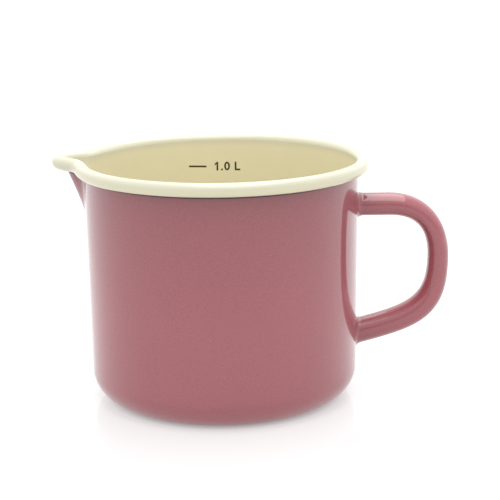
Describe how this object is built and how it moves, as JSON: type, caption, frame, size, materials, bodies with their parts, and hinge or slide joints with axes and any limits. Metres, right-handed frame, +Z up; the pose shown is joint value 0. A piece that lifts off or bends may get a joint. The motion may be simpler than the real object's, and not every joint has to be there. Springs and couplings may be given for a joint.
{
  "type": "enamelled pouring pot",
  "caption": "Straight-sided enamelled steel melting and pouring pot with a pressed spout, a rolled rim, a hollow loop handle and a volume mark inside.",
  "frame": {"origin": "on the pot's axis at the middle of the flat underside of the base", "axes": "+Z up along the pot's axis, +X towards the handle, -X towards the spout"},
  "size_m": [0.1755, 0.1306, 0.1094],
  "materials": {
    "sheet_steel": "bare drawn sheet, hidden under the enamel",
    "cream_enamel": "glossy vitreous enamel",
    "rose_enamel": "glossy vitreous enamel with fine speckle",
    "ground_coat": "satin dark ground enamel",
    "mark_ink": "fired-on dark print"
  },
  "bodies": {
    "root": {"body_steel": "sheet_steel", "lining_enamel": "cream_enamel", "outer_enamel": "rose_enamel", "rim_ground_coat": "ground_coat", "handle_enamel": "rose_enamel", "handle_inner_pressing": "sheet_steel", "handle_outer_pressing": "sheet_steel", "upper_weld": "rose_enamel", "lower_weld": "rose_enamel", "mark_line": "mark_ink", "mark_one": "mark_ink", "mark_point": "mark_ink", "mark_zero": "mark_ink", "mark_litre": "mark_ink"}
  },
  "joints": []
}
